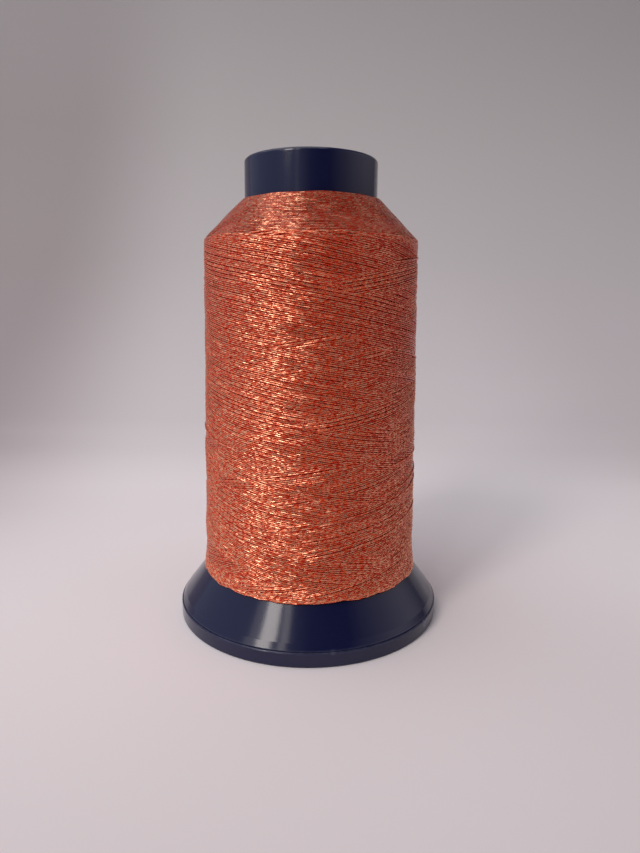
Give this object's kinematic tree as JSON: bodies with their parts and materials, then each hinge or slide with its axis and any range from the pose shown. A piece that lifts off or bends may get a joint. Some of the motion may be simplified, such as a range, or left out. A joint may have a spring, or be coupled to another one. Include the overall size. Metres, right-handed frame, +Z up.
{
  "type": "spool of thread",
  "caption": "Snap spool cross-wound with metallic thread: a collar on top, a conical flange, and a base that slides down to open a groove for the thread's end.",
  "frame": {"origin": "centre of the base's underside, on the surface that the spool stands on", "axes": "+Z up the spool's axis, from the base to the collar"},
  "size_m": [0.065, 0.065, 0.1086],
  "materials": {
    "moulded_plastic": "satin navy moulded polystyrene",
    "metallic_thread": "copper-red foil-wrapped thread"
  },
  "bodies": {
    "base": {"snap_base": "moulded_plastic"},
    "spool_body": {"barrel": "moulded_plastic", "thread_package": "metallic_thread", "outer_thread": "metallic_thread"}
  },
  "joints": [
    {"name": "base_snap", "type": "slide", "parent": "base", "child": "spool_body", "axis": [0, 0, 1], "range_m": [0, 0.003]}
  ]
}
